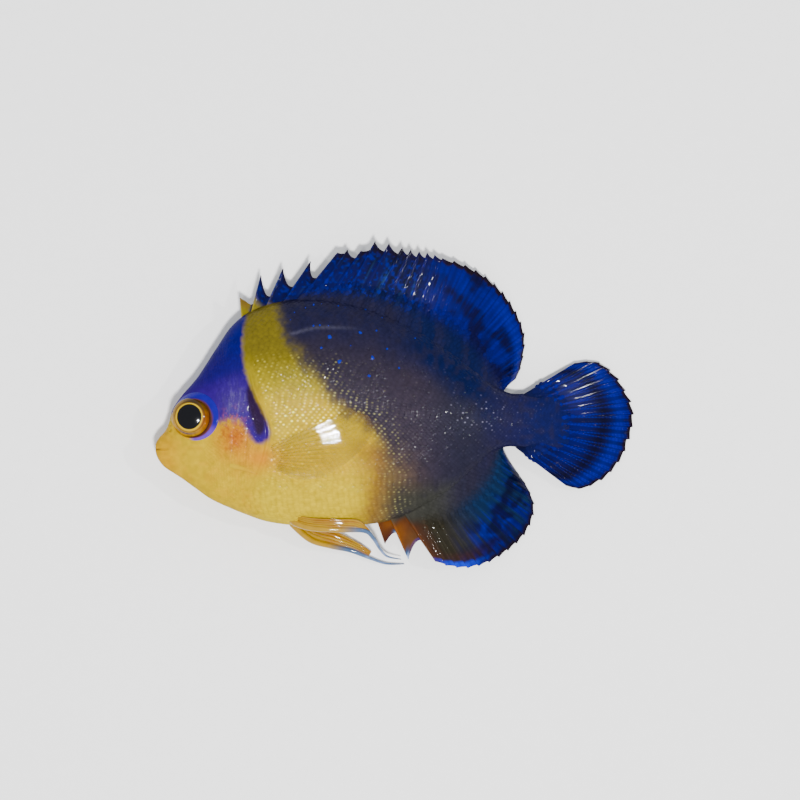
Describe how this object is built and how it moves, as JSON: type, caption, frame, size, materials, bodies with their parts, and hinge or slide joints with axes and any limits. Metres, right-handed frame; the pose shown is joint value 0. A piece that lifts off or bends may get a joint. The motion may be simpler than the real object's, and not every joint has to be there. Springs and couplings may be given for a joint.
{
  "type": "juvenile purplemask angelfish",
  "caption": "Life-size juvenile reef angelfish lying on its right side with its fins spread, deep-bodied with a short snout.",
  "frame": {"origin": "centre of the bounding box at the floor that the fish lies on", "axes": "-X towards the snout, +X towards the tail, +Y towards the back, +Z out of the left flank, which faces up"},
  "size_m": [0.0452, 0.0308, 0.0095],
  "materials": {
    "head_skin": "wet gloss",
    "flank_skin": "wet gloss",
    "stalk_skin": "wet gloss",
    "dorsal_fin": "wet gloss",
    "anal_fin": "wet gloss",
    "tail_fin": "wet gloss",
    "pectoral_fins": "wet gloss",
    "pelvic_fins": "wet gloss",
    "eyes": "wet gloss"
  },
  "bodies": {
    "root": {"head": "head_skin", "torso": "flank_skin", "tail_stalk": "stalk_skin", "dorsal_fin": "dorsal_fin", "anal_fin": "anal_fin", "tail_fin": "tail_fin", "pectoral_fin_left": "pectoral_fins", "pectoral_fin_right": "pectoral_fins", "pelvic_fin_left": "pelvic_fins", "pelvic_fin_right": "pelvic_fins", "eye_left": "eyes", "eye_right": "eyes"}
  },
  "joints": []
}
